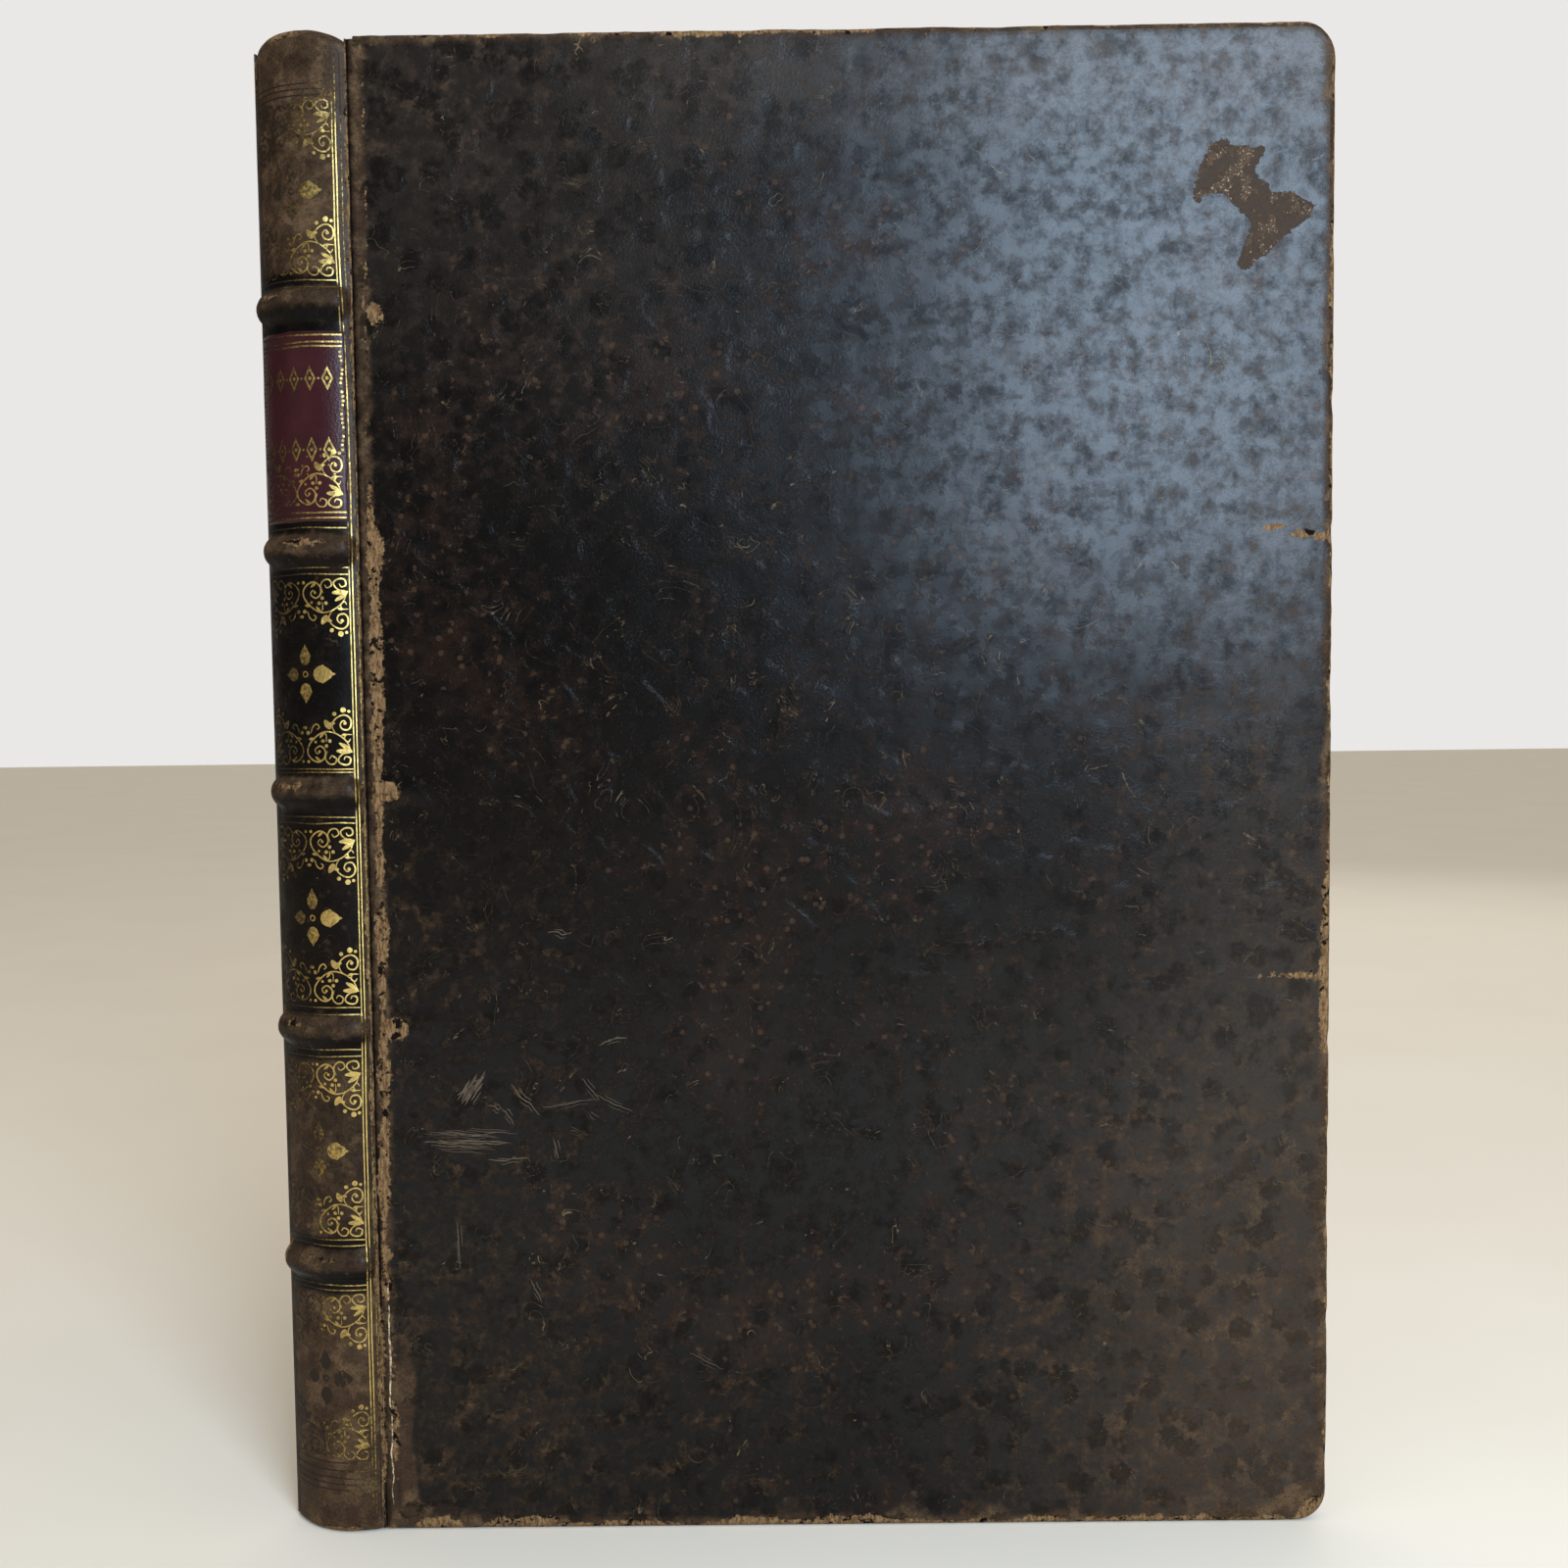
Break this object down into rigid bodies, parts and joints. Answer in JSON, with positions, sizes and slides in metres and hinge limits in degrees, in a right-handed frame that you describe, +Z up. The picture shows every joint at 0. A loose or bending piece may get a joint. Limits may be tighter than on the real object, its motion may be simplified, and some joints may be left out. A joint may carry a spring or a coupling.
{
  "type": "antique leather book",
  "caption": "Tall antique folio book in full dark leather with raised bands and a gilt panelled spine, standing on its tail edge with its front cover open.",
  "frame": {"origin": "middle of the front cover's tail edge, on the surface the book stands on", "axes": "+Z up the book from tail to head, +X along the front cover from the spine to its fore-edge, +Y from the cover's outer face to its inner face"},
  "size_m": [0.2348, 0.2106, 0.3313],
  "materials": {
    "cover_calf": "worn, sprinkled, polished calf",
    "spine_calf": "worn calf with gilt tooling",
    "label_leather": "polished goatskin",
    "leaves": "aged laid paper",
    "endpaper": "aged laid paper",
    "pasteboard": "rough pasteboard",
    "hemp_cord": "twisted hemp",
    "endband_thread": "worked in coloured thread"
  },
  "bodies": {
    "text_and_spine": {"text_block": "leaves", "spine_leather": "spine_calf", "title_label": "label_leather", "head_endband": "endband_thread", "tail_endband": "endband_thread", "sewing_cord_1": "hemp_cord", "sewing_cord_2": "hemp_cord", "sewing_cord_3": "hemp_cord", "sewing_cord_4": "hemp_cord", "sewing_cord_5": "hemp_cord"},
    "front_cover": {"front_board": "pasteboard", "front_cord_slip_1": "hemp_cord", "front_cord_slip_2": "hemp_cord", "front_cord_slip_3": "hemp_cord", "front_cord_slip_4": "hemp_cord", "front_cord_slip_5": "hemp_cord", "front_cover_leather": "cover_calf", "front_pastedown": "endpaper"},
    "back_cover": {"back_board": "pasteboard", "back_cord_slip_1": "hemp_cord", "back_cord_slip_2": "hemp_cord", "back_cord_slip_3": "hemp_cord", "back_cord_slip_4": "hemp_cord", "back_cord_slip_5": "hemp_cord", "back_cover_leather": "cover_calf", "back_pastedown": "endpaper"}
  },
  "joints": [
    {"name": "front_hinge", "type": "hinge", "parent": "text_and_spine", "child": "front_cover", "pos_m": [-0.106, -0.00215, 0], "axis": [0, 0, 1], "range_deg": [-90, 70]},
    {"name": "back_hinge", "type": "hinge", "parent": "text_and_spine", "child": "back_cover", "pos_m": [-0.12855, 0.00606, 0], "axis": [0, 0, 1], "range_deg": [0, 160]}
  ]
}
